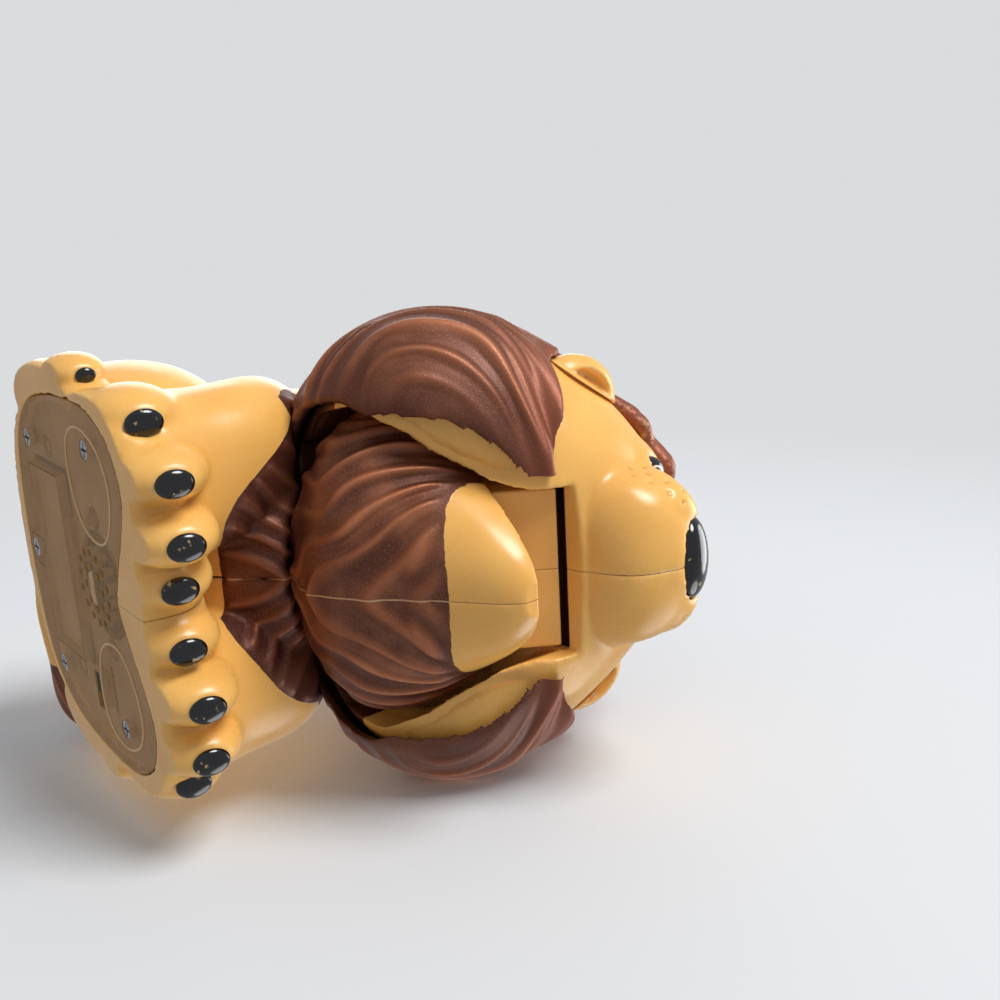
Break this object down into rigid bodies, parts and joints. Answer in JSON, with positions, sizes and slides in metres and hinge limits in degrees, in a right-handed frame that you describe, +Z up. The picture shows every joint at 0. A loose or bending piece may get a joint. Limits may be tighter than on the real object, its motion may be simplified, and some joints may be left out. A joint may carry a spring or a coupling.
{
  "type": "talking animal figure",
  "caption": "Seated moulded plastic lion figure with a mane, an opening mouth, a push button in its back that works the jaw, and a battery door and sound grille underneath.",
  "frame": {"origin": "on the flat underside, below the middle of the body, in the middle plane", "axes": "+Z up from the underside to the crown; the lion looks along -Y; +X is the lion's left"},
  "size_m": [0.1216, 0.1639, 0.139],
  "materials": {
    "yellow_plastic": "satin gloss, golden yellow",
    "mane_paint": "pearl copper brown paint over the moulding",
    "black_gloss": "gloss black paint, worn in flecks",
    "eye_gloss": "gloss, dark with a pale ring",
    "sole_plastic": "satin tan",
    "button_red": "gloss",
    "inner_white": "matt moulded",
    "black_matte": "matt",
    "steel": "zinc plated",
    "battery_jacket": "plain jacket",
    "board_green": "solder mask"
  },
  "bodies": {
    "figure": {"body_left": "yellow_plastic", "body_right": "yellow_plastic", "head_left": "yellow_plastic", "head_right": "yellow_plastic", "tail": "yellow_plastic", "mane_left": "mane_paint", "mane_right": "mane_paint", "claws_left": "black_gloss", "claws_right": "black_gloss", "nose": "black_gloss", "eyes": "eye_gloss", "base_plate": "sole_plastic", "battery_door": "sole_plastic", "neck_tube": "inner_white", "battery_tray": "inner_white", "speaker_ring": "inner_white", "power_switch": "black_matte", "voice_switch": "black_matte", "speaker": "black_matte", "jaw_pin": "steel", "jaw_spring": "steel", "button_spring": "steel", "case_screws": "steel", "base_screws": "steel", "small_screws": "steel", "door_screw": "steel", "battery_contacts": "steel", "batteries": "battery_jacket", "circuit_board": "board_green"},
    "jaw": {"jaw_left": "yellow_plastic", "jaw_right": "yellow_plastic"},
    "button": {"back_button": "button_red", "push_rod": "inner_white"},
    "knob": {"power_knob": "black_matte"}
  },
  "joints": [
    {"name": "jaw_hinge", "type": "hinge", "parent": "figure", "child": "jaw", "pos_m": [0, -0.026, 0.078], "axis": [-1, 0, 0], "range_deg": [0, 17], "stiffness_Nm_per_rad": 0.01, "springref_deg": -20.05},
    {"name": "button_press", "type": "slide", "parent": "figure", "child": "button", "axis": [0, -1, 0], "range_m": [0, 0.00282]},
    {"name": "power_slide", "type": "slide", "parent": "figure", "child": "knob", "axis": [1, 0, 0], "range_m": [0, 0.004]}
  ],
  "couplings": [
    {"joint": "button_press", "follows": "jaw_hinge", "m_per_rad": 0.0095}
  ]
}
